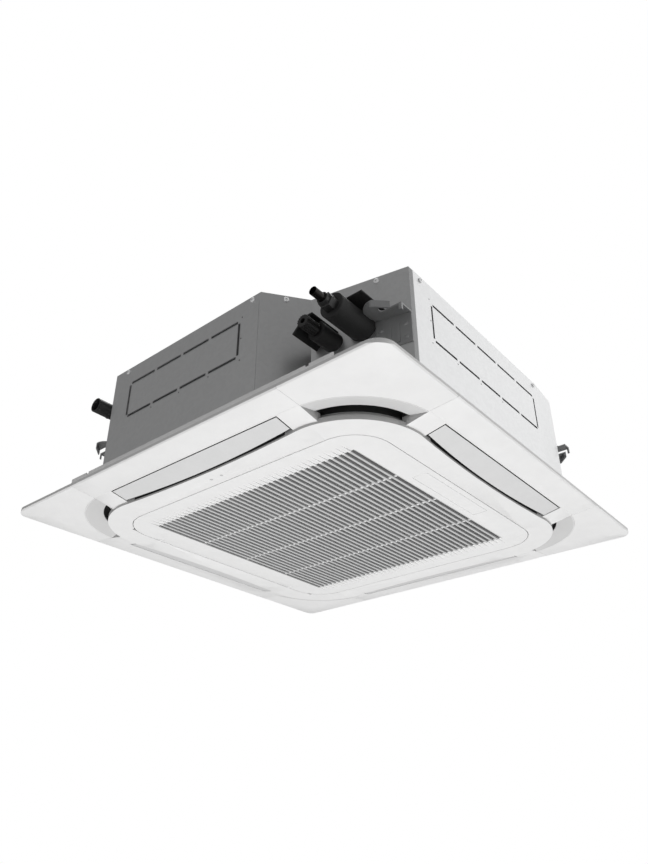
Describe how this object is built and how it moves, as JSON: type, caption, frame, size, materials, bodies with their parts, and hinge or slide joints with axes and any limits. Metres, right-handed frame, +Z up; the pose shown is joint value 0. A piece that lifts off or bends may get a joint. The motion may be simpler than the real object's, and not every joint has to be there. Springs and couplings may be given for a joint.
{
  "type": "ceiling cassette air conditioner",
  "caption": "Ceiling cassette air conditioner with a square grille panel, outlet louvers, hanger lugs, pipe stubs and a drain stub.",
  "frame": {"origin": "middle of the four hanger slots, on the underside of the lug plates", "axes": "+Z up towards the slab, -Y the way the refrigerant pipes and the drain stub point, +X towards the pipe corner's side"},
  "size_m": [0.95, 0.95, 0.3055],
  "materials": {
    "galvanised_steel": "galvanised sheet with a fine spangle",
    "panel_plastic": "fine matt grain",
    "louver_plastic": "fine matt grain",
    "insulation_foam": "closed-cell foam with a skin",
    "white_foam": "moulded bead foam",
    "copper": "drawn tube",
    "aluminium_fins": "close rows of thin fins",
    "plated_steel": "zinc plated",
    "motor_metal": "cast housing",
    "fan_plastic": "moulded, slightly glossy",
    "black_plastic": "moulded, satin",
    "pale_plastic": "moulded, satin",
    "circuit_board": "coated board with parts",
    "filter_mesh": "woven mesh in a moulded frame",
    "lamp_lens": "clear lens",
    "rubber_seal": "foam strip"
  },
  "bodies": {
    "unit_body": {"side_plate_front": "galvanised_steel", "side_plate_pipe": "galvanised_steel", "side_plate_right": "galvanised_steel", "side_plate_back": "galvanised_steel", "side_plate_left": "galvanised_steel", "top_plate": "galvanised_steel", "casing_screws": "plated_steel", "foam_liner": "white_foam", "top_insulation": "white_foam", "hanger_bracket_1": "galvanised_steel", "hanger_bracket_2": "galvanised_steel", "hanger_bracket_3": "galvanised_steel", "hanger_bracket_4": "galvanised_steel", "heat_exchanger": "aluminium_fins", "coil_end_plates": "plated_steel", "return_bends": "copper", "coil_header": "copper", "gas_pipe": "copper", "liquid_pipe": "copper", "gas_foam_sleeve": "insulation_foam", "liquid_foam_sleeve": "insulation_foam", "gas_flare_nut": "black_plastic", "liquid_flare_nut": "black_plastic", "pipe_wrap_pads": "insulation_foam", "drain_pan": "white_foam", "drain_pump": "pale_plastic", "pump_bracket": "plated_steel", "drain_hose": "pale_plastic", "drain_outlet": "insulation_foam", "float_switch": "pale_plastic", "fan_motor": "motor_metal", "motor_bracket": "galvanised_steel", "bell_mouth": "pale_plastic", "control_box": "galvanised_steel", "control_box_cover": "galvanised_steel", "circuit_board": "circuit_board", "cable_bush": "black_plastic", "panel_frame": "panel_plastic", "panel_seal": "rubber_seal", "panel_brackets": "galvanised_steel", "panel_bolts": "plated_steel", "corner_covers": "panel_plastic", "louver_motors": "pale_plastic", "status_lamps": "lamp_lens", "lamp_board": "circuit_board"},
    "fan_body": {"turbo_fan": "fan_plastic", "fan_nut": "plated_steel", "motor_shaft": "plated_steel"},
    "impeller_body": {"pump_impeller": "pale_plastic"},
    "float_body": {"float": "pale_plastic"},
    "louver_1_body": {"louver_1": "louver_plastic"},
    "louver_2_body": {"louver_2": "louver_plastic"},
    "louver_3_body": {"louver_3": "louver_plastic"},
    "louver_4_body": {"louver_4": "louver_plastic"},
    "grille_body": {"intake_grille": "panel_plastic", "air_filter": "filter_mesh"},
    "latch_body": {"grille_latch": "panel_plastic"}
  },
  "joints": [
    {"name": "fan_spin", "type": "hinge", "parent": "unit_body", "child": "fan_body", "pos_m": [0, 0, 0], "axis": [0, 0, 1], "continuous": true},
    {"name": "pump_spin", "type": "hinge", "parent": "unit_body", "child": "impeller_body", "pos_m": [-0.3, -0.3, -0.1], "axis": [0, 0, 1], "continuous": true},
    {"name": "float_slide", "type": "slide", "parent": "unit_body", "child": "float_body", "axis": [0, 0, 1], "range_m": [0, 0.008]},
    {"name": "louver_1_swing", "type": "hinge", "parent": "unit_body", "child": "louver_1_body", "pos_m": [0, -0.384, -0.184], "axis": [1, 0, 0], "range_deg": [0, 65]},
    {"name": "louver_2_swing", "type": "hinge", "parent": "unit_body", "child": "louver_2_body", "pos_m": [0.384, 0, -0.184], "axis": [0, 1, 0], "range_deg": [0, 65]},
    {"name": "louver_3_swing", "type": "hinge", "parent": "unit_body", "child": "louver_3_body", "pos_m": [0, 0.384, -0.184], "axis": [-1, 0, 0], "range_deg": [0, 65]},
    {"name": "louver_4_swing", "type": "hinge", "parent": "unit_body", "child": "louver_4_body", "pos_m": [-0.384, 0, -0.184], "axis": [0, -1, 0], "range_deg": [0, 65]},
    {"name": "grille_swing", "type": "hinge", "parent": "unit_body", "child": "grille_body", "pos_m": [-0.314, 0, -0.1955], "axis": [0, 1, 0], "range_deg": [0, 90]},
    {"name": "latch_push", "type": "slide", "parent": "grille_body", "child": "latch_body", "axis": [0, 0, 1], "range_m": [0, 0.0025], "stiffness_N_per_m": 400, "springref_m": -0.001}
  ]
}
